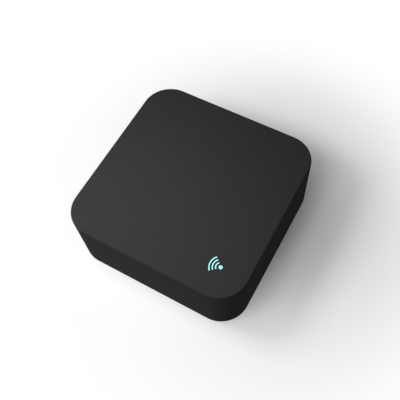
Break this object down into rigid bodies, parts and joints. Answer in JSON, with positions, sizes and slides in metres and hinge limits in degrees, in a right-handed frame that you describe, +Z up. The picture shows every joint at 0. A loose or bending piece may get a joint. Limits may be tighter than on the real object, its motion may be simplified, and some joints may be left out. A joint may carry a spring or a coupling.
{
  "type": "smart infrared blaster",
  "caption": "Low square table-top hub with round corners that repeats remote control codes as infrared light all round, with a lit status symbol, a reset button and a small power socket.",
  "frame": {"origin": "under the middle of the case, on the surface that the feet stand on", "axes": "+Z up, -Y the front, from where the status symbol reads upright, +Y the back with the power socket and the reset button"},
  "size_m": [0.058, 0.058, 0.022],
  "materials": {
    "case_plastic": "fine matt charcoal moulding",
    "base_plastic": "matt charcoal moulding",
    "foot_rubber": "soft matt rubber",
    "screw_steel": "zinc plated",
    "board_laminate": "glass laminate under green solder mask",
    "lit_guide": "clear moulding, lit pale cyan",
    "sleeve_foam": "dark foam",
    "lamp_ceramic": "white lamp body",
    "lamp_gel": "clear gel, lit pale cyan",
    "button_plastic": "satin dark moulding",
    "switch_plastic": "black moulding",
    "switch_steel": "pressed sheet",
    "plunger_plastic": "white moulding",
    "tinned_metal": "bright tin",
    "socket_steel": "plated pressed shell",
    "socket_plastic": "black moulding",
    "contact_gold": "gold plated",
    "emitter_epoxy": "clear faintly blue epoxy",
    "receiver_epoxy": "near black epoxy",
    "chip_epoxy": "black epoxy",
    "can_aluminium": "bare drawn can",
    "resistor_ceramic": "black glaze",
    "capacitor_ceramic": "tan ceramic"
  },
  "bodies": {
    "case": {"top_cover": "case_plastic", "base_plate": "base_plastic", "foot_front_left": "foot_rubber", "foot_front_right": "foot_rubber", "foot_back_left": "foot_rubber", "foot_back_right": "foot_rubber", "board_screws": "screw_steel", "main_board": "board_laminate", "status_light_guide": "lit_guide", "light_sleeve": "sleeve_foam", "status_led": "lamp_ceramic", "status_led_lens": "lamp_gel", "switch_body": "switch_plastic", "switch_frame": "switch_steel", "switch_dome": "switch_steel", "switch_terminals": "tinned_metal", "power_socket_shell": "socket_steel", "power_socket_core": "socket_plastic", "power_socket_contacts": "contact_gold", "ir_emitter_front": "emitter_epoxy", "ir_emitter_left": "emitter_epoxy", "ir_emitter_right": "emitter_epoxy", "ir_emitter_front_right": "emitter_epoxy", "ir_emitter_back_left": "emitter_epoxy", "ir_emitter_back_right": "emitter_epoxy", "ir_emitter_up": "emitter_epoxy", "emitter_leads": "tinned_metal", "ir_receiver": "receiver_epoxy", "receiver_leads": "tinned_metal", "lead_solder_joints": "tinned_metal", "radio_board": "board_laminate", "radio_chip": "chip_epoxy", "radio_shield": "socket_steel", "radio_antenna": "contact_gold", "radio_solder_joints": "tinned_metal", "voltage_regulator": "chip_epoxy", "regulator_leads": "tinned_metal", "bulk_capacitor": "can_aluminium", "capacitor_base": "chip_epoxy", "driver_transistors": "chip_epoxy", "transistor_leads": "tinned_metal", "chip_resistors": "resistor_ceramic", "chip_capacitors": "capacitor_ceramic", "chip_end_caps": "tinned_metal", "protection_diode": "chip_epoxy", "diode_leads": "tinned_metal"},
    "button": {"reset_button": "button_plastic"},
    "plunger": {"switch_plunger": "plunger_plastic"}
  },
  "joints": [
    {"name": "reset_press", "type": "slide", "parent": "case", "child": "button", "axis": [0, -1, 0], "range_m": [0, 0.00025], "stiffness_N_per_m": 400},
    {"name": "plunger_press", "type": "slide", "parent": "case", "child": "plunger", "axis": [0, -1, 0], "range_m": [0, 0.00025]}
  ],
  "couplings": [
    {"joint": "plunger_press", "follows": "reset_press", "ratio": 1}
  ]
}
